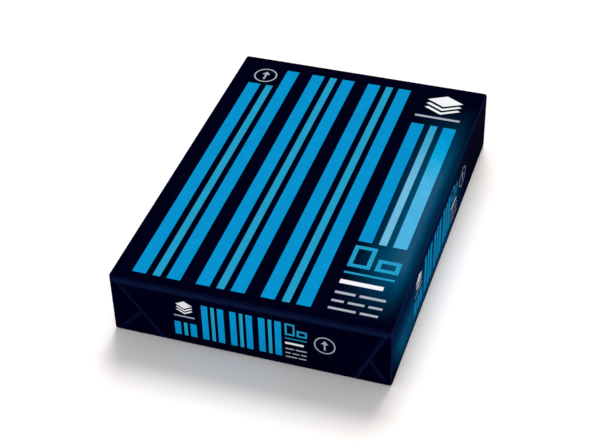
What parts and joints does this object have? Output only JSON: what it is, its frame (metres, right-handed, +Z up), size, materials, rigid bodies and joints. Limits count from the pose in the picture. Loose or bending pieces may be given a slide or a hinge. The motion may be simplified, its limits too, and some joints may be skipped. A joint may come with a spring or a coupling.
{
  "type": "ream of paper",
  "caption": "Sealed ream of A4 copy paper lying flat: an oblong pack in a printed paper wrapper with folded end flaps and plain blue stripes.",
  "frame": {"origin": "middle of the underside of the pack, as it lies flat", "axes": "+X across the sheets' short side, +Y along their long side away from the end that the print reads from, +Z up through the stack of sheets"},
  "size_m": [0.211, 0.299, 0.052],
  "materials": {
    "printed_wrapper": "satin coated wrapping paper, printed near-black navy all over with plain cyan stripes"
  },
  "bodies": {
    "root": {"wrapped_ream": "printed_wrapper"}
  },
  "joints": []
}
